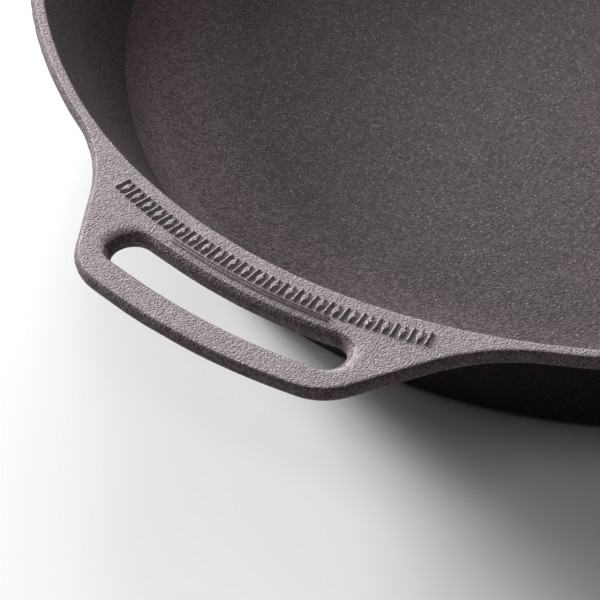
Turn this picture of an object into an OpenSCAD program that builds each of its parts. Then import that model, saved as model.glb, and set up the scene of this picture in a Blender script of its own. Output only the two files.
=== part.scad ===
// Two-handled fire skillet, cast in one piece of iron.
// The casting is drawn as its named features, which meet face to face.
// Millimetres. Z is up, X runs through both handles, and the origin is the
// middle of the base, on the surface that the skillet stands on.

/* [Bowl] */
// Radius of the inner edge of the rim
rim_inner_r = 195; // [170:1:230]
// Width of the rim from its inner edge to its outermost point
rim_w = 4.4; // [3.6:0.1:6]
// Thickness of the rim and of the handle plates, which are level with it
plate_t = 5.2; // [5:0.1:8]
// Rounding of the outer edges of rim, handles and finger slots
edge_r = 2.4; // [1.2:0.1:2.5]
// How far the parting line stands out at half thickness
draft = 0.2; // [0.1:0.05:0.5]
// Small rounding of the rim's inner edge
rim_round = 0.8; // [0.3:0.1:1.2]
// Height of the bowl from the base to the rim
bowl_h = 56; // [42:1:80]
// Angle by which the wall leans outward from upright
wall_lean = 27.5; // [20:0.5:38]
// Thickness of the slanting wall
wall_t = 4; // [3:0.1:6]
// Thickness of the cooking floor
floor_t = 5; // [3:0.1:8]
// Rounding between the base and the outside of the wall
corner_out_r = 8; // [6.5:0.5:12]
// Rounding between the floor and the inside of the wall
corner_in_r = 14; // [8:0.5:20]

/* [Handles] */
// Width of the plate between the rim and the finger slot
web_w = 12.3; // [9:0.1:18]
// Width of the bar that is gripped
grip_w = 10.5; // [7:0.1:14]
// Radius of the outer edge of the grip
grip_arc_r = 216; // [150:1:250]
// Width of the handle between its corners, before they are rounded
handle_w = 93; // [88:0.2:120]
// Rounding of the handle's corners
handle_corner_r = 20; // [14:1:26]
// Angle by which each side of the handle leans outward to the rim
side_lean = 31; // [24:0.2:38]
// Radius of the concave flare between handle and rim
flare_r = 61; // [45:1:75]

/* [Finger slot] */
// Width of the slot at half thickness, where it is narrowest
slot_w = 11.7; // [9:0.1:18]
// Overall length of the slot at half thickness
slot_l = 83.4; // [60:0.2:86]

/* [Ornament] */
// Height of the raised band above the plate
relief = 0.6; // [0.3:0.1:1.2]
// Bare margin between the rim's inner edge and the ornament
ornament_margin = 4.2; // [3:0.1:5]
// Height of the bars and lozenges, measured away from the rim
ornament_h = 5.4; // [4:0.1:7]
// Width of one bar
bar_w = 1; // [0.6:0.1:1.6]
// Width of one lozenge
lozenge_w = 2.4; // [1.6:0.1:3]
// Step from one bar to the next along the rim
ornament_pitch = 5.2; // [4.4:0.1:8]
// Number of steps in the band
ornament_steps = 22; // [10:2:24]
// Width of the two fine lines under the band
line_w = 0.5; // [0.3:0.1:0.8]
// Clear width between bars and line, and between the lines
line_gap = 0.7; // [0.4:0.1:1]
// Length of the fine lines
line_l = 58; // [30:1:80]

/* [Hidden] */

// Colours as the photograph shows them
plate_colour = "#958b8f";
floor_colour = "#5b5255";
wall_colour = "#3f393c";

// Number of steps in each kind of curve
arc_steps = 8;
edge_steps = 4;
strip_steps = 16;
cap_steps = 8;
$fn = 180;

// Bowl section: the wall runs down from the rim's inner edge at its own slope, and the
// flat base ends where the outer corner has turned into it
wall_angle = 90 - wall_lean;
wall_out = [sin(wall_angle), -cos(wall_angle)];
function inner_r_at(z) = rim_inner_r - (bowl_h - z) / tan(wall_angle);
function outer_r_at(z) = inner_r_at(z) + wall_t / sin(wall_angle);
base_r = outer_r_at(corner_out_r) - corner_out_r / sin(wall_angle);
corner_centre = [base_r, corner_out_r];
fillet_z = floor_t + corner_in_r;
fillet_centre = [inner_r_at(fillet_z) - corner_in_r / sin(wall_angle), fillet_z];
wall_foot_in = fillet_centre + corner_in_r * wall_out;
wall_foot_out = wall_foot_in + wall_t * wall_out;
band_z = bowl_h - plate_t;

// Handle: radii of its rings round the bowl's axis
rim_outer_r = rim_inner_r + rim_w;
edge_depth_share = 0.47;
edge_width_share = 0.65;
edge = min(edge_r, plate_t * edge_depth_share, (rim_w - draft) * edge_width_share);
lip_r = rim_outer_r - draft - edge;
slot_in_r = rim_outer_r + web_w;
slot_mid_r = slot_in_r + slot_w / 2;
slot_out_r = slot_in_r + slot_w;
grip_x = slot_out_r + grip_w;
cap_angle = asin((slot_l - slot_w) / 2 / slot_mid_r);

// Handle outline, upper half: grip arc, corner arc, side line, flare arc
grip_centre = [grip_x - grip_arc_r, 0];
side_dir = [cos(side_lean), -sin(side_lean)];
side_out = [sin(side_lean), cos(side_lean)];
sharp_corner = [grip_centre.x + sqrt(grip_arc_r ^ 2 - (handle_w / 2) ^ 2), handle_w / 2];

// Step along direction d from point p to the circle of radius r round the origin
function step_to_circle(p, d, r) = -(p * d) + sqrt((p * d) ^ 2 - p * p + r ^ 2);

corner_line = sharp_corner - handle_corner_r * side_out;
corner_c = corner_line
    + side_dir * step_to_circle(corner_line - grip_centre, side_dir, grip_arc_r - handle_corner_r);
flare_line = sharp_corner + flare_r * side_out;
flare_c = flare_line + side_dir * step_to_circle(flare_line, side_dir, rim_outer_r + flare_r);

// Where one part of the outline hands over to the next, for an inset of o
corner_dir = (corner_c - grip_centre) / norm(corner_c - grip_centre);
function grip_end(o) = grip_centre + (grip_arc_r - o) * corner_dir;
function corner_end(o) = corner_c + (handle_corner_r - o) * side_out;
function side_end(o) = flare_c - (flare_r + o) * side_out;
function polar(p) = atan2(p.y, p.x);

// Distance from the axis to a circle, to a line and to the outline, along polar angle a
function far_hit(c, r, d) = c * d + sqrt((c * d) ^ 2 - c * c + r ^ 2);
function near_hit(c, r, d) = c * d - sqrt((c * d) ^ 2 - c * c + r ^ 2);
function line_hit(p, n, d) = (p * n) / (d * n);
function outline_r(a, o) =
    let (d = [cos(a), sin(a)])
    a < polar(grip_end(o)) ? far_hit(grip_centre, grip_arc_r - o, d)
    : a < polar(corner_end(o)) ? far_hit(corner_c, handle_corner_r - o, d)
    : a < polar(side_end(o)) ? line_hit(sharp_corner - o * side_out, side_out, d)
    : near_hit(flare_c, flare_r + o, d);

// Polar angles at which the flare starts and at which it has run out into the rim
flare_start = polar(side_end(0));
flare_end = polar(flare_c);

// Edge of the plate as pairs of inset and depth, from its top face to its bottom face
upper_edge = [for (i = [0:edge_steps])
    let (t = 90 * i / edge_steps)
    [draft + edge * (1 - sin(t)), edge * (1 - cos(t))]];
edge_profile = concat(
    upper_edge,
    [[0, plate_t / 2]],
    [for (i = [edge_steps:-1:0]) [upper_edge[i].x, plate_t - upper_edge[i].y]]
);

// One point of the plate from radius, polar angle and depth under the top face
function plate_point(r, a, depth) = [r * cos(a), r * sin(a), bowl_h - depth];

// Sides of a section: plain on the rim, rounded on the outline and round the slot
function rim_side(a, r) = [for (e = edge_profile) plate_point(r, a, e.y)];
function outline_side(a) = [for (e = edge_profile) plate_point(outline_r(a, e.x), a, e.y)];
function slot_side(a, r, way) = [for (e = edge_profile) plate_point(r + way * e.x, a, e.y)];
function cap_side(t) = [for (e = edge_profile)
    let (r = slot_w / 2 + e.x)
    [slot_mid_r * cos(cap_angle) + r * cos(cap_angle + t),
     slot_mid_r * sin(cap_angle) + r * sin(cap_angle + t), bowl_h - e.y]];
function reversed(list) = [for (i = [len(list) - 1:-1:0]) list[i]];

// Solid through a row of sections, each an even number of points that run down one
// side and back up the other
module loft(sections) {
    m = len(sections[0]);
    last = len(sections) - 1;
    points = [for (s = sections) each s];
    sides = [for (i = [0:last - 1]) for (j = [0:m - 1])
        let (a = i * m + j, b = i * m + (j + 1) % m)
        each [[a, b, b + m], [a, b + m, a + m]]];
    first_end = [for (j = [0:m / 2 - 2]) [j + 1, j, m - 1 - j, m - 2 - j]];
    last_end = [for (f = first_end) [for (k = [3:-1:0]) last * m + f[k]]];
    polyhedron(points, concat(sides, first_end, last_end), convexity = 4);
}

// Straight facets on a circle stay outside it when its radius grows by this share
function facet_share(span, steps) = 1 / cos(span / steps / 2);

module web() {
    span = 2 * cap_angle;
    r = lip_r * facet_share(span, strip_steps);
    color(plate_colour) loft([for (i = [0:strip_steps])
        let (a = cap_angle - span * i / strip_steps)
        concat(rim_side(a, r), reversed(slot_side(a, slot_in_r, -1)))]);
}

module grip() {
    span = 2 * cap_angle;
    color(plate_colour) loft([for (i = [0:strip_steps])
        let (a = cap_angle - span * i / strip_steps, side = outline_side(abs(a)))
        concat(
            slot_side(a, slot_out_r, 1),
            reversed([for (p = side) [p.x, a < 0 ? -p.y : p.y, p.z]]))]);
}

// Corner of the handle on its +Y side, fanned out round the slot's end
module arm() {
    rim_turn_share = 0.42;
    outline_turn_share = 0.42;
    span = flare_start - cap_angle;
    r = lip_r * facet_share(span, cap_steps);
    along_rim = [for (i = [0:cap_steps])
        let (share = i / cap_steps, t = 180 * (1 - rim_turn_share * share))
        concat(rim_side(cap_angle + span * share, r), reversed(cap_side(t)))];
    along_outline = [for (i = [0:2 * cap_steps])
        let (share = i / (2 * cap_steps), t = 180 * outline_turn_share * (1 - share))
        concat(outline_side(flare_start - span * share), reversed(cap_side(t)))];
    color(plate_colour) loft(reversed(concat(along_rim, along_outline)));
}

// Flare of the handle on its +Y side, running out into the lip of the rim
module flare() {
    span = flare_end - flare_start;
    r = lip_r * facet_share(span, strip_steps);
    color(plate_colour) loft([for (i = [0:strip_steps])
        let (a = flare_end - span * i / strip_steps)
        concat(rim_side(a, r), reversed(outline_side(a)))]);
}

// Raised band of bars and lozenges with two fine lines under its middle
module ornament() {
    inner_r = rim_inner_r + ornament_margin;
    mid_r = inner_r + ornament_h / 2;
    step_angle = ornament_pitch / mid_r * 180 / PI;
    half_band = ornament_steps / 2;
    color(plate_colour) translate([0, 0, bowl_h]) {
        for (i = [-half_band:half_band])
            rotate([0, 0, i * step_angle]) translate([inner_r, -bar_w / 2, 0])
                cube([ornament_h, bar_w, relief]);
        for (i = [-half_band:half_band - 1])
            rotate([0, 0, (i + 0.5) * step_angle]) translate([mid_r, 0, 0]) lozenge();
        for (i = [1, 2])
            fine_line(inner_r + ornament_h + i * line_gap + (i - 1) * line_w);
    }
}

module lozenge() {
    linear_extrude(relief) polygon([
        [-ornament_h / 2, 0], [0, -lozenge_w / 2], [ornament_h / 2, 0], [0, lozenge_w / 2]
    ]);
}

// Fine raised line at radius r, centred on the handle
module fine_line(r) {
    half_angle = line_l / r * 90 / PI;
    rotate([0, 0, -half_angle]) rotate_extrude(angle = 2 * half_angle)
        translate([r, 0]) square([line_w, relief]);
}

module cooking_floor() {
    color(floor_colour) cylinder(r = fillet_centre.x, h = floor_t);
}

module floor_corner() {
    outer_arc = [for (i = [0:arc_steps])
        let (t = wall_angle * i / arc_steps)
        corner_centre + corner_out_r * [sin(t), -cos(t)]];
    inner_arc = [for (i = [arc_steps:-1:0])
        let (t = wall_angle * i / arc_steps)
        fillet_centre + corner_in_r * [sin(t), -cos(t)]];
    color(floor_colour) rotate_extrude()
        polygon(concat([[fillet_centre.x, 0]], outer_arc, [wall_foot_out], inner_arc));
}

module side_wall() {
    color(wall_colour) rotate_extrude() polygon([
        wall_foot_in, wall_foot_out, [outer_r_at(band_z), band_z], [inner_r_at(band_z), band_z]
    ]);
}

module rim_band() {
    inner_arc = [for (i = [0:edge_steps])
        let (t = 90 * i / edge_steps)
        [rim_inner_r + rim_round * (1 - sin(t)), bowl_h - rim_round * (1 - cos(t))]];
    color(plate_colour) rotate_extrude() polygon(concat(
        reversed(inner_arc),
        [[lip_r, bowl_h], [lip_r, band_z], [inner_r_at(band_z), band_z]]
    ));
}

// Rounded lip of the rim on its +Y side, from one handle's flare to the other's
module rim_lip() {
    color(plate_colour) rotate([0, 0, flare_end]) rotate_extrude(angle = 180 - 2 * flare_end)
        polygon([for (e = edge_profile) [rim_outer_r - e.x, bowl_h - e.y]]);
}

// The handle pieces are drawn on +X; the left handle is turned half round
module left() rotate([0, 0, 180]) children();
module flipped() mirror([0, 1, 0]) children();

cooking_floor();
floor_corner();
side_wall();
rim_band();
flipped() rim_lip();  // rim_lip_front
rim_lip();  // rim_lip_rear
left() web();  // left_web
left() grip();  // left_grip
left() arm();  // left_arm_front
left() flipped() arm();  // left_arm_rear
left() flare();  // left_flare_front
left() flipped() flare();  // left_flare_rear
left() ornament();  // left_ornament
web();  // right_web
grip();  // right_grip
arm();  // right_arm_rear
flipped() arm();  // right_arm_front
flare();  // right_flare_rear
flipped() flare();  // right_flare_front
ornament();  // right_ornament
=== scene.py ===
# Looks of a large two-handled fire skillet, sand-cast in one piece of iron.
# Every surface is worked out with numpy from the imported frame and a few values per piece.
import math

import bmesh
import bpy
import numpy as np
from mathutils import Matrix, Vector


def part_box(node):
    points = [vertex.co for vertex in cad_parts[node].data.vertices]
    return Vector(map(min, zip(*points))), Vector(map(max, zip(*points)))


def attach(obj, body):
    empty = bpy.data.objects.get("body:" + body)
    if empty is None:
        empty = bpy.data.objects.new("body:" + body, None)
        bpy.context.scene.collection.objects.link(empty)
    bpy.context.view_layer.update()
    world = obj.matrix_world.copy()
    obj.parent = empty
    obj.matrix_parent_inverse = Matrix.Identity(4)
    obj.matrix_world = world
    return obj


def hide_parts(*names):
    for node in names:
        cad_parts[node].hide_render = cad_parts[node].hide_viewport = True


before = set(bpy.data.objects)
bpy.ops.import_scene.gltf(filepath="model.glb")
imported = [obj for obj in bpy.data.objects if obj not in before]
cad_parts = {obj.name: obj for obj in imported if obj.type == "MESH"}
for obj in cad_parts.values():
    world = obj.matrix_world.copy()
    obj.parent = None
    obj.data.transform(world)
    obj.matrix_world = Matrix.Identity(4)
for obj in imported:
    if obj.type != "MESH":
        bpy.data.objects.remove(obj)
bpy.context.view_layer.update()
print("frame loaded:", len(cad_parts), "nodes")

mm = 0.001
hair = 0.01 * mm                                  # a length too small to see
bodyName = "root"

# Sizes that the frame gives
bandLow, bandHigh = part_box("rim_band")
topZ = bandHigh.z                                 # top of the rim and of the handle plates
bottomZ = bandLow.z                               # and their underside
plateThickness = topZ - bottomZ
lipRadius = bandHigh.x                            # where the rim's rounded lip begins
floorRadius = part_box("cooking_floor")[1].x        # where the corner between floor and wall begins
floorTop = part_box("cooking_floor")[1].z
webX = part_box("right_web")[1].x                   # the finger slot's wall on the rim's side
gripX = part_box("right_grip")[1].x                 # the handle's outer end
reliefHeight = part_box("right_ornament")[1].z - topZ


# Surfaces as grids of points

def lifted(plan, z):
    # Plan points and heights become points in space: (x, y), z -> (x, y, z)
    z = np.broadcast_to(z, plan.shape[:-1])
    return np.concatenate([plan, z[..., None]], axis=-1)


def polarPlan(radius, angle):
    # x = r cos a, y = r sin a
    radius, angle = np.broadcast_arrays(radius, angle)
    return np.stack([radius * np.cos(angle), radius * np.sin(angle)], axis=-1)


def polarAngle(plan):
    # a = atan2(y, x)
    return np.arctan2(plan[..., 1], plan[..., 0])


def grid(points, wrapRows=False, wrapColumns=False):
    # A grid of points with its quads; a wrapped side joins its last line to its first
    rows, columns = points.shape[:2]
    i = np.arange(rows if wrapRows else rows - 1)[:, None]
    j = np.arange(columns if wrapColumns else columns - 1)[None, :]
    nextI = (i + 1) % rows
    nextJ = (j + 1) % columns
    corners = [i * columns + j, nextI * columns + j, nextI * columns + nextJ, i * columns + nextJ]
    quads = np.stack(np.broadcast_arrays(*corners), axis=-1).reshape(-1, 4)
    return points.reshape(-1, 3), quads


def across(first, last, steps, crowd=1.0):
    # Straight lines between two rows of points, crowded towards the last row:
    # p = first + (last - first) (1 - (1 - s)^crowd)
    share = (1 - (1 - np.linspace(0, 1, steps + 1)) ** crowd)[None, :, None]
    return first[:, None, :] * (1 - share) + last[:, None, :] * share


def halfTurned(grids):
    # The same grids half a turn further round the bowl's axis: (-x, -y, z)
    return [(points * [-1, -1, 1], quads) for points, quads in grids]


# Unevenness of the casting

waves = {
    "count": 24,
    "shortest": 14 * mm,
    "longest": 70 * mm,
    "radial": 0.16 * mm,     # how far the outside may draw in at the rim
    "upright": 0.10 * mm,    # how far the top may sink
    "radialSeed": 11,
    "uprightSeed": 12,
}


def slowNoise(points, seed):
    # Sum of sines along random directions, n = sum sin(2 pi d.p / length + phase) / sqrt(count / 2),
    # pressed into the range from 0 to 1: (1 + tanh n) / 2
    random = np.random.default_rng(seed)
    direction = random.normal(size=(waves["count"], 3))
    direction /= np.linalg.norm(direction, axis=1, keepdims=True)
    length = random.uniform(waves["shortest"], waves["longest"], waves["count"])
    phase = random.uniform(0, 2 * np.pi, waves["count"])
    value = np.sin(points @ (direction / length[:, None]).T * 2 * np.pi + phase).sum(axis=-1)
    return 0.5 + 0.5 * np.tanh(value / math.sqrt(waves["count"] / 2))


def settled(points):
    # A point draws in towards the axis by up to "radial" at the rim, and sinks by up to "upright"
    # at the top. This depends on place alone, so that neighbouring pieces still meet.
    inward = 1 - waves["radial"] / rimRadius * slowNoise(points, waves["radialSeed"])
    down = 1 - waves["upright"] / topZ * slowNoise(points, waves["uprightSeed"])
    return points * np.stack([inward, inward, down], axis=-1)


# From grids to a piece

skin = {
    "merge": 0.0003 * mm,    # points nearer than this become one
    "level": 0.93,           # upward part of a face's normal from which it counts as level; steeper faces get a darker iron as painted shade
    "down": -0.2,            # and below which it looks down and gets the near-black iron as painted shade
    "sharpAngle": 35,        # degrees between two faces from which their edge stays sharp
}


def makePiece(name, grids, topIron, sideIron, nodes, sharpAngle=skin["sharpAngle"]):
    # Grids are joined where their edges meet, faces are turned outwards, and the piece rides on the
    # skillet's one body in place of its CAD nodes. Faces that look up are topIron and steeper ones
    # sideIron, on rim and handles a darker iron as painted shade. Those that look down, from the
    # plates' underside on, have near-black iron: black iron darkened further as painted shade.
    counts = [len(points) for points, quads in grids]
    starts = np.cumsum([0] + counts[:-1])
    points = settled(np.concatenate([points for points, quads in grids]))
    quads = np.concatenate([patch[1] + start for patch, start in zip(grids, starts)])
    mesh = bpy.data.meshes.new(name)
    mesh.from_pydata(points.tolist(), [], quads.tolist())
    work = bmesh.new()
    work.from_mesh(mesh)
    bmesh.ops.remove_doubles(work, verts=work.verts, dist=skin["merge"])
    bmesh.ops.dissolve_degenerate(work, edges=work.edges, dist=skin["merge"])
    bmesh.ops.recalc_face_normals(work, faces=work.faces)
    openEdges = sum(len(line.link_faces) != 2 for line in work.edges)
    for face in work.faces:
        face.smooth = True
        up = face.normal.z
        # Painted shade: steep faces take the second iron, on rim and handles a darker one, and faces
        # that look down under the plates take the near-black iron
        outside = up < skin["down"] and face.calc_center_median().z < bottomZ + hair
        face.material_index = 2 if outside else int(up < skin["level"])
    work.to_mesh(mesh)
    work.free()
    mesh.set_sharp_from_angle(angle=math.radians(sharpAngle))
    for iron in (topIron, sideIron, outsideShadeIron):
        mesh.materials.append(iron)
    piece = bpy.data.objects.new(name, mesh)
    bpy.context.scene.collection.objects.link(piece)
    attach(piece, bodyName)
    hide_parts(*nodes)
    print("made", name, len(mesh.vertices), "points", len(mesh.polygons), "faces",
          openEdges, "open edges")


# Rounded edge of rim, handles and slots

edge = {
    "round": 1.8 * mm,       # rounding of the upper edge
    "under": 2.4 * mm,       # rounding of the lower edge
    "parting": 0.2 * mm,     # how far the parting line stands out
    "ridgeLeast": 0.25,      # share of its ridge that is left where it is most worn
    "ridgeWave": 6,          # how much shorter the ridge's waves are than the casting's
    "ridgeSeed": 13,
    "ridgeSteps": 6,
    "arcSteps": 8,
}
edgeWidth = edge["under"] + edge["parting"]
rimRadius = lipRadius + edgeWidth


def edgeRows(width, depth, under):
    # Insets, depths and ridge shares down the edge: a quarter of an ellipse of the given width and
    # depth, the parting ridge, and a quarter circle. The narrower of the two roundings gets a level
    # step, so that both end at the same inset.
    turn = np.linspace(0, np.pi / 2, edge["arcSteps"] + 1)
    ridgeShare = np.sin(np.linspace(0, np.pi, edge["ridgeSteps"] + 1)) ** 2
    halfRidge = plateThickness / 2 - max(depth, under) - hair
    upper = edge["parting"] + width * (1 - np.sin(turn))
    middle = np.tile(edge["parting"], (len(width), len(ridgeShare)))
    lower = np.tile(edge["parting"] + under * (1 - np.cos(turn)), (len(width), 1))
    insets = np.concatenate([upper, middle, lower], axis=1)
    depths = np.concatenate([
        depth * (1 - np.cos(turn)),
        plateThickness / 2 + halfRidge * np.linspace(-1, 1, len(ridgeShare)),
        plateThickness - under * (1 - np.sin(turn)),
    ])
    plain = np.zeros(len(turn))
    ridge = np.concatenate([plain, ridgeShare, plain])
    if np.max(width) < under:
        insets = np.concatenate([insets[:, -1:], insets], axis=1)
        depths = np.concatenate([[0], depths])
        ridge = np.concatenate([[0], ridge])
    else:
        insets = np.concatenate([insets, insets[:, :1]], axis=1)
        depths = np.concatenate([depths, [plateThickness]])
        ridge = np.concatenate([ridge, [0]])
    return insets, depths, ridge


outsideRows = edgeRows(np.array([[edge["round"]]]), edge["round"], edge["under"])


def edgeStrip(contour, rows=outsideRows):
    # The edge carried along a contour, where contour(inset) gives the plan points for an array of
    # insets. The parting ridge rises and falls with a noise along the way, alike in each quarter.
    insets, depths, ridge = rows
    line = np.abs(lifted(contour(np.zeros((1, 1))), topZ))
    noise = slowNoise(line * edge["ridgeWave"], edge["ridgeSeed"])
    standing = edge["ridgeLeast"] + (1 - edge["ridgeLeast"]) * noise
    inset = insets - edge["parting"] * ridge[None, :] * standing
    return lifted(contour(inset), topZ - depths[None, :])


# Handle outline in plan, as for the handle on +X: grip arc, corner arc, side line, flare arc

handle = {
    "slotShift": 0.9 * mm,   # how much nearer the rim the slot's wall is than in the frame
    "slotWidth": 12.6 * mm,
    "slotLength": 83.4 * mm,
    "slotDepth": 2.4 * mm,   # of the slot's upper rounding
    "webRound": 4.2 * mm,    # its width at the web, at the grip, and what it gains round the ends
    "gripRound": 1.3 * mm,
    "endRound": 2.6 * mm,
    "slotUnder": 0.8 * mm,   # rounding of the slot's lower edge
    "gripArcRadius": 216 * mm,
    "width": 93 * mm,        # between the corners before they are rounded
    "cornerRadius": 20 * mm,
    "sideLean": math.radians(31),
    "flareRadius": 61 * mm,
    "underFillet": 4 * mm,   # between the plate's underside and the bowl
    "filletShare": 0.9,      # the most of the plate's width that the fillet takes
    "webSteps": 56,
    "armSteps": 16,
    "lineSteps": 14,
    "outlineSteps": 44,
    "flareSteps": 32,
    "lipSteps": 300,
    "skirtSteps": 5,
    "acrossSteps": 12,
    "crowd": 1.5,            # how closely the lines across the plate crowd away from the slot
    "rimShare": 0.58,        # turns round the slot's end, as shares of half a turn, where the fan
    "backShare": 0.44,       # leaves the rim and where it reaches the outline
}
slotInner = webX - handle["slotShift"]
slotMiddle = slotInner + handle["slotWidth"] / 2
slotOuter = slotInner + handle["slotWidth"]
capAngle = math.asin((handle["slotLength"] - handle["slotWidth"]) / 2 / slotMiddle)
gripCentre = np.array([gripX - handle["gripArcRadius"], 0.0])
sideAlong = np.array([math.cos(handle["sideLean"]), -math.sin(handle["sideLean"])])
sideOut = np.array([math.sin(handle["sideLean"]), math.cos(handle["sideLean"])])
halfWidth = handle["width"] / 2
cornerReach = math.sqrt(handle["gripArcRadius"] ** 2 - halfWidth ** 2)
sharpCorner = gripCentre + np.array([cornerReach, halfWidth])


def stepToCircle(point, direction, radius):
    # Way from a point along a direction to a circle round the origin:
    # t = -p.d + sqrt((p.d)^2 - p.p + R^2)
    along = point @ direction
    return -along + math.sqrt(along ** 2 - point @ point + radius ** 2)


cornerLine = sharpCorner - handle["cornerRadius"] * sideOut
cornerCentre = cornerLine + sideAlong * stepToCircle(
    cornerLine - gripCentre, sideAlong, handle["gripArcRadius"] - handle["cornerRadius"])
cornerWay = (cornerCentre - gripCentre) / np.linalg.norm(cornerCentre - gripCentre)
flareLine = sharpCorner + handle["flareRadius"] * sideOut
flareCentre = flareLine + sideAlong * stepToCircle(
    flareLine, sideAlong, rimRadius + handle["flareRadius"])


def circleHit(centre, radius, way, side):
    # Where the ray along "way" meets a circle: r = c.w + side sqrt((c.w)^2 - c.c + R^2)
    along = way @ centre
    return along + side * np.sqrt(np.maximum(along ** 2 - centre @ centre + radius ** 2, 0))


def outlineRadius(angle, inset):
    # Distance from the axis to the outline, drawn in by the inset, at a polar angle
    angle, inset = np.broadcast_arrays(np.abs(angle), inset)
    way = polarPlan(1.0, angle)
    gripEnd = polarAngle(gripCentre + (handle["gripArcRadius"] - inset)[..., None] * cornerWay)
    cornerEnd = polarAngle(cornerCentre + (handle["cornerRadius"] - inset)[..., None] * sideOut)
    sideEnd = polarAngle(flareCentre - (handle["flareRadius"] + inset)[..., None] * sideOut)
    onGrip = circleHit(gripCentre, handle["gripArcRadius"] - inset, way, 1)
    onCorner = circleHit(cornerCentre, handle["cornerRadius"] - inset, way, 1)
    onSide = (sharpCorner @ sideOut - inset) / (way @ sideOut)
    onFlare = circleHit(flareCentre, handle["flareRadius"] + inset, way, -1)
    before = [angle < gripEnd, angle < cornerEnd, angle < sideEnd]
    return np.select(before, [onGrip, onCorner, onSide], onFlare)


flareStart = float(polarAngle(flareCentre - handle["flareRadius"] * sideOut))
flareEnd = float(polarAngle(flareCentre))

# Turns that all pieces round the bowl share, so that their edges meet point by point
webAngle = np.linspace(-capAngle, capAngle, handle["webSteps"] + 1)
armAngle = np.linspace(capAngle, flareStart, handle["armSteps"] + 1)
flareAngle = np.linspace(flareStart, flareEnd, handle["flareSteps"] + 1)
handleAngle = np.concatenate([webAngle[handle["webSteps"] // 2:], armAngle[1:], flareAngle[1:]])
lipAngle = np.linspace(flareEnd, np.pi - flareEnd, handle["lipSteps"] + 1)
rearAngle = np.concatenate([handleAngle, lipAngle[1:-1], np.pi - handleAngle[::-1]])
ringAngle = np.concatenate([rearAngle, 2 * np.pi - rearAngle[-2:0:-1]])


# Bowl: closed sections turned round the axis

bowl = {
    "wallLean": math.radians(27.5),
    "wallThickness": 4 * mm,
    "cornerOut": 8 * mm,     # roundings between floor and wall, outside and inside
    "cornerIn": 14 * mm,
    "rimWidth": 4.4 * mm,
    "rimRound": 1.0 * mm,    # rounding of the rim's inner edge
    "floorRings": 26,
    "underRings": 14,
    "baseSteps": 3,
    "outArcSteps": 16,
    "riseSteps": 4,
    "inArcSteps": 32,
    "wallRings": 14,
    "rimArcSteps": 7,
    "rimTopSteps": 2,
    "rimSideSteps": 4,
}
wallAngle = math.pi / 2 - bowl["wallLean"]
tangentShare = math.tan(wallAngle / 2)            # tangent of a fillet between level and wall, in radii
wallOut = np.array([math.sin(wallAngle), -math.cos(wallAngle)])
wallAcross = np.array([bowl["wallThickness"] / math.sin(wallAngle), 0])
rimInner = rimRadius - bowl["rimWidth"]


def innerAt(z):
    # Point (r, z) of the bowl's inner side: r = rim - (top - z) / tan(wall)
    return np.array([rimInner - (topZ - z) / math.tan(wallAngle), z])


innerCentre = np.array([floorRadius, floorTop + bowl["cornerIn"]])
outerShift = np.array([bowl["cornerOut"] / math.sin(wallAngle), 0])
outerCentre = innerAt(bowl["cornerOut"]) + wallAcross - outerShift
footIn = innerCentre + bowl["cornerIn"] * wallOut
footOut = footIn + bowl["wallThickness"] * wallOut


def lathe(section, closed=True):
    # x = r cos a, y = r sin a, for every point (r, z) of the section and every turn a
    plan = polarPlan(section[None, :, 0], ringAngle[:, None])
    return grid(lifted(plan, section[None, :, 1]), wrapRows=True, wrapColumns=closed)


def straight(first, last, steps):
    # Points from first to last, without the last
    share = np.linspace(0, 1, steps, endpoint=False)[:, None]
    return np.asarray(first) * (1 - share) + np.asarray(last) * share


def arc(centre, radius, start, end, steps):
    # Points of a circle: c + r (sin t, -cos t)
    turn = np.linspace(start, end, steps + 1)
    return np.asarray(centre) + radius * np.stack([np.sin(turn), -np.cos(turn)], axis=-1)


def floorSection():
    # A disc from the axis out to the corner, and back along the base
    top = straight((0, floorTop), (floorRadius, floorTop), bowl["floorRings"])
    under = straight((floorRadius, 0), (0, 0), bowl["underRings"])
    return np.concatenate([top, [(floorRadius, floorTop)], under, [(0, 0)]])


def cornerSection():
    # Along the base, round the outer arc up to the wall's foot, and back down the inner arc
    outside = arc(outerCentre, bowl["cornerOut"], 0, wallAngle, bowl["outArcSteps"])
    inside = arc(innerCentre, bowl["cornerIn"], wallAngle, 0, bowl["inArcSteps"])
    base = straight((floorRadius, 0), outside[0], bowl["baseSteps"])
    rise = straight(outside[-1], footOut, bowl["riseSteps"])[1:]
    return np.concatenate([base, outside, rise, [footOut], inside])


def wallSection():
    # Straight down the inside, and straight up the outside
    outTop = innerAt(bottomZ) + wallAcross
    inside = straight(innerAt(bottomZ), footIn, bowl["wallRings"])
    outside = straight(footOut, outTop, bowl["wallRings"])
    return np.concatenate([inside, [footIn], outside, [outTop]])


def bandSection():
    # Over the rim's inner edge on a small arc, level to the lip, down, and up along the inside
    rounding = bowl["rimRound"]
    centre = (rimInner + tangentShare * rounding, topZ - rounding)
    inside = arc(centre, rounding, math.pi + wallAngle, math.pi, bowl["rimArcSteps"])
    top = straight(inside[-1], (lipRadius, topZ), bowl["rimTopSteps"])[1:]
    inner = straight(innerAt(bottomZ), inside[0], bowl["rimSideSteps"])
    return np.concatenate([inside, top, [(lipRadius, topZ), (lipRadius, bottomZ)], inner])


def rimEdge(angle):
    # The rounded edge carried round the rim
    return edgeStrip(lambda inset: polarPlan(rimRadius - inset, angle))


def endCap(angle):
    # Section of the lip: upper rows of the rounded edge against its lower rows
    line = rimEdge(np.array([[angle]]))[0]
    half = (len(line) + 1) // 2
    return grid(np.stack([line[:half], line[::-1][:half]]))


def lipGrids():
    # Rounded lip on +Y from one handle's flare to the other's, with its hidden inner side
    outside = rimEdge(lipAngle[:, None])
    hidden = np.stack([outside[:, 0], outside[:, -1]], axis=1)
    return [grid(outside), grid(hidden), endCap(flareEnd), endCap(math.pi - flareEnd)]


# Handle plates

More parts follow.
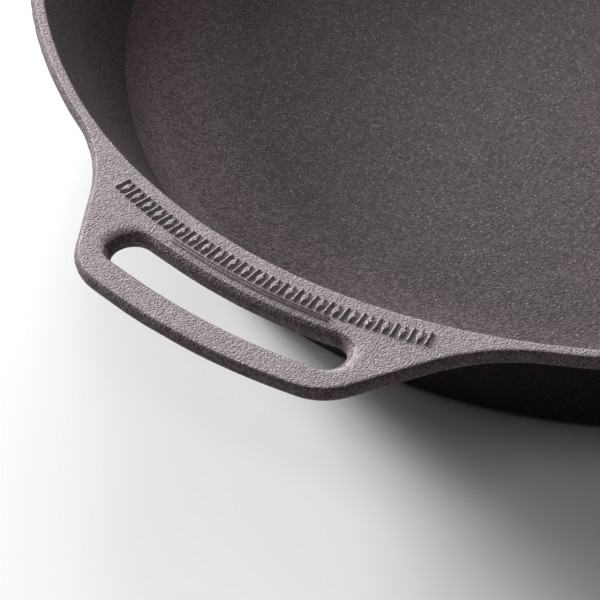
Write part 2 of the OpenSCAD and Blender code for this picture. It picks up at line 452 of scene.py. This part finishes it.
def filletRadius(angle):
    # The fillet under the plate, narrower than the plate itself where the flare runs out
    plateWidth = outlineRadius(angle, edgeWidth) - lipRadius
    return np.clip(handle["filletShare"] * plateWidth / tangentShare, 0, handle["underFillet"])


def underside(plan):
    # Underside of the plate: flat, and falling along the fillet's circle towards the bowl,
    # z = bottom - (f - sqrt(f^2 - s^2)), with s the way that a point is into the fillet
    radius = np.linalg.norm(plan, axis=-1)
    fillet = filletRadius(np.minimum(np.abs(polarAngle(plan)), flareEnd))
    into = np.clip(tangentShare * fillet - (radius - lipRadius), 0, tangentShare * fillet)
    return lifted(plan, bottomZ - (fillet - np.sqrt(np.maximum(fillet ** 2 - into ** 2, 0))))


def bothFaces(plan):
    # Upper and lower face of a stretch of the plate
    return [grid(lifted(plan, topZ)), grid(underside(plan))]


def skirt():
    # From the plate's underside at the lip down the fillet's circle to the wall, then hidden up to
    # the top. The circle's centre lies f below the underside and f outside the wall.
    fillet = filletRadius(handleAngle)[:, None]
    startTurn = math.pi - math.acos(tangentShare)
    turn = np.linspace(startTurn, math.pi / 2 + wallAngle, handle["skirtSteps"] + 1)[None, :]
    radius = lipRadius + fillet * (tangentShare + np.cos(turn))
    height = bottomZ - fillet * (1 - np.sin(turn))
    down = lifted(polarPlan(radius, handleAngle[:, None]), height)
    top = lifted(polarPlan(lipRadius, handleAngle), topZ)
    return [grid(down), grid(np.stack([top, down[:, -1]], axis=1))]


def outlineEdge(angle):
    # The rounded edge carried along the handle's outline
    return grid(edgeStrip(lambda inset: polarPlan(outlineRadius(angle, inset), angle)))


def slotRows(turn):
    # Rows of the slot's edge at turns from 0, at the grip, over its round end to pi, at the web
    share = np.asarray(turn, dtype=float).reshape(-1, 1) / np.pi
    width = handle["gripRound"] + (handle["webRound"] - handle["gripRound"]) * share
    width = width + handle["endRound"] * np.sin(np.pi * share) ** 2
    return edgeRows(width, handle["slotDepth"], handle["slotUnder"])


def handleGrids():
    # Patches of one handle on +X. Their edges are shared, so that they join into one closed skin.
    # The first inset of a slot's rows is where the level face begins.
    steps = handle["acrossSteps"]
    crowd = handle["crowd"]
    web = webAngle[:, None]
    back = np.linspace(flareStart, capAngle, handle["outlineSteps"] + 1)[:, None]

    # Web between rim and slot, and grip between slot and outline
    webRows = slotRows(np.pi)
    gripRows = slotRows(0)
    webIn = polarPlan(slotInner - webRows[0][0, 0], webAngle)
    gripIn = polarPlan(slotOuter + gripRows[0][0, 0], webAngle)
    gripOut = polarPlan(outlineRadius(webAngle, edgeWidth), webAngle)
    grids = bothFaces(across(webIn, polarPlan(lipRadius, webAngle), steps, crowd))
    grids += bothFaces(across(gripIn, gripOut, steps, crowd))
    grids.append(grid(edgeStrip(lambda inset: polarPlan(slotInner - inset, web), webRows)))
    grids.append(grid(edgeStrip(lambda inset: polarPlan(slotOuter + inset, web), gripRows)))
    grids.append(outlineEdge(web))

    # Arm: lines that fan out from the slot's round end to the rim, the flare and the outline
    flareIn = polarPlan(lipRadius, flareAngle)
    flareOut = polarPlan(outlineRadius(flareAngle, edgeWidth), flareAngle)
    flareFace = across(flareIn, flareOut, handle["lineSteps"])
    backLine = polarPlan(outlineRadius(back, edgeWidth), back)[:, 0]
    outer = np.concatenate([polarPlan(lipRadius, armAngle), flareFace[0, 1:], backLine[1:]])
    capTurn = np.pi * np.concatenate([
        np.linspace(1, handle["rimShare"], len(armAngle)),
        np.linspace(handle["rimShare"], handle["backShare"], handle["lineSteps"] + 1)[1:],
        np.linspace(handle["backShare"], 0, len(backLine))[1:],
    ])[:, None]
    capCentre = polarPlan(slotMiddle, capAngle)

    def capContour(inset):
        # Round the slot's end: c + (r + inset) (cos t, sin t)
        return capCentre + polarPlan(handle["slotWidth"] / 2 + inset, capAngle + capTurn)

    capRows = slotRows(capTurn)
    inner = capContour(capRows[0][:, :1])[:, 0]
    half = bothFaces(across(inner, outer, steps, crowd)) + bothFaces(flareFace)
    half.append(grid(edgeStrip(capContour, capRows)))
    half.append(outlineEdge(back))
    half.append(outlineEdge(flareAngle[:, None]))
    half += skirt()
    half.append(endCap(flareEnd))
    mirrored = [(points * [1, -1, 1], quads) for points, quads in half]
    return grids + half + mirrored


# Raised band on each plate

relief = {
    "margin": 4.2 * mm,      # bare plate between the rim's inner edge and the band
    "height": 5.4 * mm,      # of bars and lozenges, away from the rim
    "barWidth": 1.0 * mm,
    "lozengeWidth": 2.4 * mm,
    "pitch": 5.2 * mm,       # from bar to bar
    "pitches": 22,
    "lines": 2,
    "lineWidth": 0.5 * mm,
    "lineGap": 0.6 * mm,
    "lineLength": 58 * mm,
    "foot": 0.14 * mm,       # how far the cast foot spreads round each mark
    "slope": 0.34 * mm,      # width of the slope from the plate up to the mark's top
    "sunk": 0.2 * mm,        # how deep a mark reaches into the plate
    "barSteps": 14,
    "lozengeSteps": 16,
    "lineSteps": 70,
    "acrossSteps": 8,
    "sharpAngle": 60,
}
bandIn = rimInner + relief["margin"]
bandMiddle = bandIn + relief["height"] / 2


def crowdedShare(steps):
    # Shares from 0 to 1 that crowd at both ends: (1 - cos(pi s)) / 2
    return (1 - np.cos(np.pi * np.linspace(0, 1, steps + 1))) / 2


def evenHalf(width):
    # Half the width of a bar, alike along its whole length
    return lambda share: np.full(share.shape, width / 2)


def taperedHalf(width):
    # Half the width of a lozenge, at a share of the way from its middle to a tip
    return lambda share: width / 2 * np.clip(1 - share, 0, 1)


def mark(length, halfWidthAt, steps):
    # A raised mark as a height over its footprint: h = relief S(d / slope), with d the distance in
    # from the footprint's edge and S a smooth step. Its underside is flat, inside the plate.
    along = (crowdedShare(steps) - 0.5) * (length + 2 * relief["foot"])
    half = (halfWidthAt(np.abs(along) * 2 / length) + relief["foot"])[:, None]
    side = (2 * crowdedShare(relief["acrossSteps"]) - 1)[None, :] * half
    inside = np.minimum(half - np.abs(side), (length / 2 + relief["foot"] - np.abs(along))[:, None])
    step = np.clip(inside / relief["slope"], 0, 1)
    height = topZ - relief["sunk"] + (reliefHeight + relief["sunk"]) * step * step * (3 - 2 * step)
    along = np.broadcast_to(along[:, None], side.shape)
    return along, side, height


def markGrids(place, shape):
    # Raised upper side of a mark, and its flat underside inside the plate
    along, side, height = shape
    plan = place(along, side)
    return [grid(lifted(plan, height)), grid(lifted(plan, topZ - relief["sunk"]))]


def radialPlace(turn):
    # A mark that points away from the axis at a polar angle
    way = polarPlan(1.0, turn)
    sideways = np.array([-way[1], way[0]])
    return lambda along, side: (bandMiddle + along)[..., None] * way + side[..., None] * sideways


def ringPlace(radius):
    # A mark that runs round the axis at a radius
    return lambda along, side: polarPlan(radius + side, along / radius)


def bandGrids():
    # Bars at an even pitch, a lozenge between each two, and fine lines on the side of the slot
    bar = mark(relief["height"], evenHalf(relief["barWidth"]), relief["barSteps"])
    lozenge = mark(relief["height"], taperedHalf(relief["lozengeWidth"]), relief["lozengeSteps"])
    line = mark(relief["lineLength"], evenHalf(relief["lineWidth"]), relief["lineSteps"])
    turn = relief["pitch"] / bandMiddle
    half = relief["pitches"] // 2
    linePitch = relief["lineGap"] + relief["lineWidth"]
    firstLine = bandIn + relief["height"] + relief["lineGap"] + relief["lineWidth"] / 2
    grids = []
    for i in range(-half, half + 1):
        grids += markGrids(radialPlace(i * turn), bar)
    for i in range(-half, half):
        grids += markGrids(radialPlace((i + 0.5) * turn), lozenge)
    for i in range(relief["lines"]):
        grids += markGrids(ringPlace(firstLine + i * linePitch), line)
    return grids


# Finish of the iron

def feed(tree, socket, value):
    # A socket takes a link from another socket, or a plain value
    if isinstance(value, bpy.types.NodeSocket):
        tree.links.new(value, socket)
    else:
        socket.default_value = value


def addNode(tree, kind, settings=None, **values):
    # Sockets are named by keyword, with _ for a space
    node = tree.nodes.new(kind)
    for key, value in (settings or {}).items():
        setattr(node, key, value)
    for key, value in values.items():
        feed(tree, node.inputs[key.replace("_", " ")], value)
    return node


def calc(tree, operation, *values):
    # One step of arithmetic on sockets and numbers
    node = tree.nodes.new("ShaderNodeMath")
    node.operation = operation
    for i, value in enumerate(values):
        feed(tree, node.inputs[i], value)
    return node.outputs[0]


def newGroup(name, inputs, outputs):
    # An empty node group with named sockets
    group = bpy.data.node_groups.new(name, "ShaderNodeTree")
    for label, kind in inputs:
        group.interface.new_socket(label, in_out="INPUT", socket_type=kind)
    for label, kind in outputs:
        group.interface.new_socket(label, in_out="OUTPUT", socket_type=kind)
    return group


sand = {
    "cells": 0.9,            # scales of the patterns, in cells for each grain
    "fine": 1.0,
    "lumps": 0.3,
    "clouds": 0.04,
    "specks": 0.8,
    "cellSoftness": 0.35,
    "fineShare": 0.55,       # fine noise in the skin, where the rest is round grains
    "speckShare": 0.35,      # each grain's own tone, where the rest is the skin's
    "brightLeast": 0.82,     # grains whose own value is above this are bright
    "brightFall": 2.2,       # how steeply a bright grain fades from its middle
}


def sandCastGroup():
    # Skin of a sand casting: round grains and pits the size of the moulding sand, lumps of a few
    # grains, slow clouds of tone, and single bright grains. All outputs run from about 0 to 1.
    group = newGroup("sandCast", [
        ("Coordinates", "NodeSocketVector"),
        ("Grain", "NodeSocketFloat"),      # millimetres from grain to grain
        ("Lumps", "NodeSocketFloat"),      # how much the lumps add to the height
    ], [
        ("Height", "NodeSocketFloat"),
        ("Tone", "NodeSocketFloat"),
        ("Cloud", "NodeSocketFloat"),
        ("Specks", "NodeSocketFloat"),
    ])
    entry = group.nodes.new("NodeGroupInput")
    result = group.nodes.new("NodeGroupOutput")
    perGrain = calc(group, "DIVIDE", 1 / mm, entry.outputs["Grain"])
    place = addNode(group, "ShaderNodeVectorMath", {"operation": "SCALE"},
                    Vector=entry.outputs["Coordinates"], Scale=perGrain).outputs["Vector"]
    cells = addNode(group, "ShaderNodeTexVoronoi", {"feature": "SMOOTH_F1"},
                    Vector=place, Scale=sand["cells"], Smoothness=sand["cellSoftness"])
    fine = addNode(group, "ShaderNodeTexNoise",
                   Vector=place, Scale=sand["fine"], Detail=1.0, Roughness=0.5)
    lumps = addNode(group, "ShaderNodeTexNoise",
                    Vector=place, Scale=sand["lumps"], Detail=2.0, Roughness=0.5)
    cloud = addNode(group, "ShaderNodeTexNoise",
                    Vector=place, Scale=sand["clouds"], Detail=4.0, Roughness=0.6)
    single = addNode(group, "ShaderNodeTexVoronoi", {"feature": "F1"},
                     Vector=place, Scale=sand["specks"])
    own = addNode(group, "ShaderNodeSeparateColor", Color=single.outputs["Color"])
    grain = calc(group, "SUBTRACT", 1.0, cells.outputs["Distance"])
    skinHeight = calc(group, "MULTIPLY_ADD", fine.outputs["Fac"], sand["fineShare"],
                      calc(group, "MULTIPLY", grain, 1 - sand["fineShare"]))
    height = calc(group, "MULTIPLY_ADD", lumps.outputs["Fac"], entry.outputs["Lumps"], skinHeight)
    tone = calc(group, "MULTIPLY_ADD", own.outputs["Green"], sand["speckShare"],
                calc(group, "MULTIPLY", skinHeight, 1 - sand["speckShare"]))
    chosen = calc(group, "GREATER_THAN", own.outputs["Red"], sand["brightLeast"])
    fade = calc(group, "MULTIPLY", single.outputs["Distance"], sand["brightFall"])
    core = calc(group, "MAXIMUM", calc(group, "SUBTRACT", 1.0, fade), 0.0)
    feed(group, result.inputs["Height"], height)
    feed(group, result.inputs["Tone"], tone)
    feed(group, result.inputs["Cloud"], cloud.outputs["Fac"])
    feed(group, result.inputs["Specks"], calc(group, "MULTIPLY", chosen, core))
    return group


sandCast = sandCastGroup()


def paintedLightOutwards(tree, place, colour, inner, outer, times):
    # The colour, and between two radii smoothly up to "times" as much of it: painted light brightening
    # the floor's outer ring and the corner
    plan = addNode(tree, "ShaderNodeVectorMath", {"operation": "MULTIPLY"}, Vector=place)
    feed(tree, plan.inputs[1], (1, 1, 0))
    radius = addNode(tree, "ShaderNodeVectorMath", {"operation": "LENGTH"},
                     Vector=plan.outputs["Vector"])
    factor = addNode(tree, "ShaderNodeMapRange", {"interpolation_type": "SMOOTHSTEP"},
                     Value=radius.outputs["Value"], From_Min=inner, From_Max=outer,
                     To_Min=1.0, To_Max=times)
    return addNode(tree, "ShaderNodeVectorMath", {"operation": "SCALE"},
                   Vector=colour, Scale=factor.outputs["Result"]).outputs["Vector"]


def castIron(name, look):
    # Base Color and Roughness follow the grain's tone, and the grain raises the surface
    material = bpy.data.materials.new(name)
    material.use_nodes = True
    tree = material.node_tree
    shader = tree.nodes["Principled BSDF"]
    place = tree.nodes.new("ShaderNodeTexCoord").outputs["Object"]
    cast = addNode(tree, "ShaderNodeGroup", {"node_tree": sandCast},
                   Coordinates=place, Grain=look["grain"], Lumps=look["lumps"])
    tone = calc(tree, "MULTIPLY_ADD", cast.outputs["Cloud"], look["clouds"],
                calc(tree, "MULTIPLY", cast.outputs["Tone"], 1 - look["clouds"]))
    ramp = addNode(tree, "ShaderNodeValToRGB", Fac=tone)
    first, last = ramp.color_ramp.elements
    first.position = look["darkTone"]
    first.color = (*look["dark"], 1)
    last.position = look["lightTone"]
    last.color = (*look["light"], 1)
    colour = ramp.outputs["Color"]
    # Painted light: the colour brightens towards the bowl's corner
    if look["paintedLightRing"]:
        colour = paintedLightOutwards(tree, place, colour, **look["paintedLightRing"])

    # A Mix node of colours has its factor in socket 0, the colours in 6 and 7 and the result in 2
    speckled = addNode(tree, "ShaderNodeMix", {"data_type": "RGBA"})
    feed(tree, speckled.inputs[0], calc(tree, "MULTIPLY", cast.outputs["Specks"], look["specks"]))
    feed(tree, speckled.inputs[6], colour)
    feed(tree, speckled.inputs[7], (*look["speckColour"], 1))
    rough = addNode(tree, "ShaderNodeMapRange", Value=tone,
                    From_Min=look["roughTone"], From_Max=look["smoothTone"],
                    To_Min=look["roughest"], To_Max=look["smoothest"])
    bump = addNode(tree, "ShaderNodeBump", Strength=look["bump"], Distance=look["grainHeight"],
                   Height=cast.outputs["Height"])
    feed(tree, shader.inputs["Base Color"], speckled.outputs[2])
    feed(tree, shader.inputs["Roughness"], rough.outputs["Result"])
    feed(tree, shader.inputs["Normal"], bump.outputs["Normal"])
    shader.inputs["Specular IOR Level"].default_value = look["specular"]
    return material


plateLook = {
    "dark": (0.235, 0.196, 0.208),
    "light": (0.34, 0.285, 0.300),
    "darkTone": 0.40,        # tone of the grain up to which the iron is dark
    "lightTone": 0.62,       # and from which it is light
    "roughest": 0.70,
    "smoothest": 0.55,
    "roughTone": 0.3,        # tone at which it is roughest
    "smoothTone": 0.7,       # and smoothest
    "specular": 0.15,
    "grain": 0.56,           # millimetres from grain to grain
    "grainHeight": 0.37 * mm,
    "bump": 1.0,
    "lumps": 0.06,
    "clouds": 0.12,          # share of the slow clouds in the tone
    "specks": 0.35,          # strength of the bright grains
    "speckColour": (0.75, 0.66, 0.69),
    "paintedLightRing": None,           # radii between which the iron's colour is brightened outwards as painted light, and how many times
}
# Painted shade: the steep faces of rim and handles get a darker copy of the plate's iron
edgeShadeLook = dict(plateLook, dark=(0.065, 0.048, 0.052), light=(0.132, 0.100, 0.108), specular=0.10)
# Painted shade: the bowl's floor and corner get a darker copy of the plate's iron, and the brighter
# ring towards the corner is painted light
floorShadeAndLightLook = dict(plateLook, dark=(0.041, 0.0285, 0.032), light=(0.079, 0.057, 0.0625),
                 specular=0.20, grain=0.66, grainHeight=0.26 * mm,
                 specks=0.65, speckColour=(0.5, 0.42, 0.44),
                 paintedLightRing=dict(inner=130 * mm, outer=154 * mm, times=2.3))
# Painted shade: the bowl's walls and the rim's inner side get a darker copy still of the floor's iron
wallShadeLook = dict(floorShadeAndLightLook, dark=(0.020, 0.0145, 0.016), light=(0.066, 0.049, 0.054),
                specks=0.45, paintedLightRing=None)
# Painted shade: faces that look down and the bowl's outside get a near-black copy of the iron, black
# iron darkened further as painted shade
outsideShadeLook = dict(wallShadeLook, dark=(0.0040, 0.0028, 0.0031), light=(0.011, 0.0079, 0.0087),
                   specks=0.06, specular=0.03)
plateIron = castIron("plateIron", plateLook)
edgeShadeIron = castIron("edgeShadeIron", edgeShadeLook)
floorShadeAndLightIron = castIron("floorShadeAndLightIron", floorShadeAndLightLook)
wallShadeIron = castIron("wallShadeIron", wallShadeLook)
outsideShadeIron = castIron("outsideShadeIron", outsideShadeLook)
print("iron mixed")


# The pieces

plateNodes = ["web", "grip", "arm_front", "arm_rear", "flare_front", "flare_rear"]
rightNodes = ["right_" + part for part in plateNodes]
leftNodes = ["left_" + part for part in plateNodes]
floorDisc = [lathe(floorSection(), closed=False)]
makePiece("cookingFloor", floorDisc, floorShadeAndLightIron, floorShadeAndLightIron, ["cooking_floor"])
makePiece("floorCorner", [lathe(cornerSection())], floorShadeAndLightIron, floorShadeAndLightIron, ["floor_corner"])
makePiece("sideWall", [lathe(wallSection())], wallShadeIron, wallShadeIron, ["side_wall"])
makePiece("rimBand", [lathe(bandSection())], plateIron, wallShadeIron, ["rim_band"])
makePiece("rimLipRear", lipGrids(), plateIron, edgeShadeIron, ["rim_lip_rear"])
makePiece("rimLipFront", halfTurned(lipGrids()), plateIron, edgeShadeIron, ["rim_lip_front"])
makePiece("rightHandle", handleGrids(), plateIron, edgeShadeIron, rightNodes)
makePiece("leftHandle", halfTurned(handleGrids()), plateIron, edgeShadeIron, leftNodes)
makePiece("rightBand", bandGrids(), plateIron, plateIron, ["right_ornament"], relief["sharpAngle"])
makePiece("leftBand", halfTurned(bandGrids()), plateIron, plateIron, ["left_ornament"],
          relief["sharpAngle"])


# Camera at the photograph's angle

def looking(place, turn, tilt, roll=0):
    # Pose of a camera or lamp that looks "turn" degrees round from +X and "tilt" degrees below
    # level, with its right side "roll" degrees lower than its left
    return (Matrix.Translation(place)
            @ Matrix.Rotation(math.radians(turn - 90), 4, "Z")
            @ Matrix.Rotation(math.radians(90 - tilt), 4, "X")
            @ Matrix.Rotation(math.radians(-roll), 4, "Z"))


view = {
    "place": (-0.75980, -0.51028, 0.74641),
    "turn": 41.482,          # degrees, as looking() takes them
    "tilt": 42.8513,
    "roll": 3.8596,
    "lens": 216,
    "sensor": 36,
    "clipStart": 0.05,
    "clipEnd": 50,
}
camera = bpy.data.objects.new("camera", bpy.data.cameras.new("camera"))
camera.data.lens = view["lens"]
camera.data.sensor_width = view["sensor"]
camera.data.clip_start = view["clipStart"]
camera.data.clip_end = view["clipEnd"]
camera.matrix_world = looking(view["place"], view["turn"], view["tilt"], view["roll"])
bpy.context.scene.collection.objects.link(camera)
bpy.context.scene.camera = camera


# Floor and light

studio = {
    "floorSize": 6.0,
    "floorDrop": 0.1 * mm,   # of the floor below the skillet's base
    "floorSeen": 0.90,       # the floor's grey as the camera, glossy surfaces and glass see it
    "floorBounce": 0.80,     # and as it lights the object from below
    "floorRoughness": 0.4,
    "worldSeen": 1.0,        # the room's white as the camera, glossy surfaces and glass see it
    "worldLight": 0.02,      # and its light on the object
    "aim": (-0.15, -0.05, 0.0),
    "distance": 6.0,         # of the lamps from the place that they aim at
}
# Azimuth and elevation in degrees, size in metres, and how much light each lamp adds
lamps = {
    "keyLamp": dict(turn=78, rise=13.5, width=1.4, height=1.6, level=0.46),
    "secondLamp": dict(turn=84, rise=17, width=1.4, height=1.6, level=0.19),
    "middleLamp": dict(turn=112, rise=28, width=2.1, height=1.8, level=0.09),
    "topLamp": dict(turn=185, rise=66, width=4.8, height=2.4, level=0.115),
    "sideLamp": dict(turn=36, rise=16, width=2.1, height=1.8, level=0.17),
    "backLamp": dict(turn=48, rise=36, width=1.8, height=1.5, level=0.04),
}


def seenOrLight(tree, seen, light):
    # "seen" for rays from the camera, a glossy surface or glass, and "light" for the others
    path = tree.nodes.new("ShaderNodeLightPath")
    direct = calc(tree, "MAXIMUM", path.outputs["Is Camera Ray"], path.outputs["Is Glossy Ray"])
    share = calc(tree, "MAXIMUM", direct, path.outputs["Is Transmission Ray"])
    return calc(tree, "MULTIPLY_ADD", share, seen - light, light)


def pane(name, size, z):
    # A level square round the axis that isn't part of the object
    half = size / 2
    corners = [(-half, -half, z), (half, -half, z), (half, half, z), (-half, half, z)]
    mesh = bpy.data.meshes.new(name)
    mesh.from_pydata(corners, [], [(0, 1, 2, 3)])
    thing = bpy.data.objects.new(name, mesh)
    bpy.context.scene.collection.objects.link(thing)
    return thing


def areaLamp(name, turn, rise, width, height, level):
    # A lamp at an azimuth and elevation in degrees that adds "level" to the light on a level
    # surface, where 1 shows a colour as it is written: watts = level pi^2 distance^2 / sin(rise)
    data = bpy.data.lights.new(name, "AREA")
    data.shape = "RECTANGLE"
    data.size = width
    data.size_y = height
    data.energy = level * (math.pi * studio["distance"]) ** 2 / math.sin(math.radians(rise))
    lamp = bpy.data.objects.new(name, data)
    flat, up = polarPlan(studio["distance"], math.radians(rise))
    place = np.array(studio["aim"]) + lifted(polarPlan(flat, math.radians(turn)), up)
    lamp.matrix_world = looking(place, turn + 180, rise)
    bpy.context.scene.collection.objects.link(lamp)


table = pane("tableTop", studio["floorSize"], -studio["floorDrop"])
white = bpy.data.materials.new("tableWhite")
white.use_nodes = True
tableTree = white.node_tree
tableShader = tableTree.nodes["Principled BSDF"]
grey = seenOrLight(tableTree, studio["floorSeen"], studio["floorBounce"])
feed(tableTree, tableShader.inputs["Base Color"], grey)
tableShader.inputs["Roughness"].default_value = studio["floorRoughness"]
table.data.materials.append(white)

for name, values in lamps.items():
    areaLamp(name, **values)

world = bpy.data.worlds.new("studioWorld")
bpy.context.scene.world = world
world.use_nodes = True
worldTree = world.node_tree
worldTree.nodes.clear()
background = addNode(worldTree, "ShaderNodeBackground", Color=(1, 1, 1, 1),
                     Strength=seenOrLight(worldTree, studio["worldSeen"], studio["worldLight"]))
addNode(worldTree, "ShaderNodeOutputWorld", Surface=background.outputs["Background"])
bpy.context.scene.view_settings.view_transform = "Standard"
print("camera, floor and light placed")
